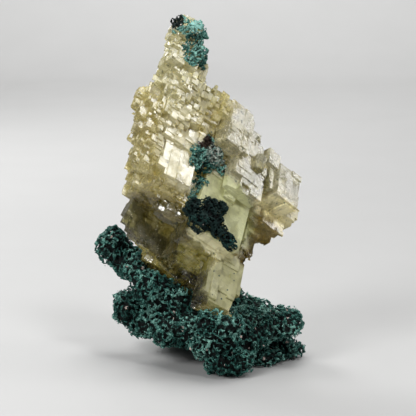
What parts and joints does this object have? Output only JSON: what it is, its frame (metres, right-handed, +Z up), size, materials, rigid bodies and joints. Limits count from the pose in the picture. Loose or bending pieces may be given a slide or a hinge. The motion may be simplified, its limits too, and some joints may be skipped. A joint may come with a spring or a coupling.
{
  "type": "calcite cluster",
  "caption": "Honey-yellow calcite crystal cluster, stepped cleavage rhombs with a tall tower, standing in a spongy green malachite matrix.",
  "frame": {"origin": "middle of the bounding box's foot, on the surface it rests on", "axes": "+Z up along the height, -Y towards the side seen in the picture, +X to its right"},
  "size_m": [0.066, 0.0548, 0.1078],
  "materials": {
    "calcite": "clear to milky honey-yellow crystal with bright cleavage faces",
    "malachite_matrix": "matt, spongy, dark blue-green",
    "malachite_tuft": "matt, fibrous, dark green"
  },
  "bodies": {
    "root": {"calcite_cluster": "calcite", "malachite_matrix": "malachite_matrix", "malachite_tuft_top": "malachite_tuft", "malachite_tuft_middle": "malachite_tuft", "malachite_tuft_patch": "malachite_tuft", "malachite_tuft_big": "malachite_tuft"}
  },
  "joints": []
}
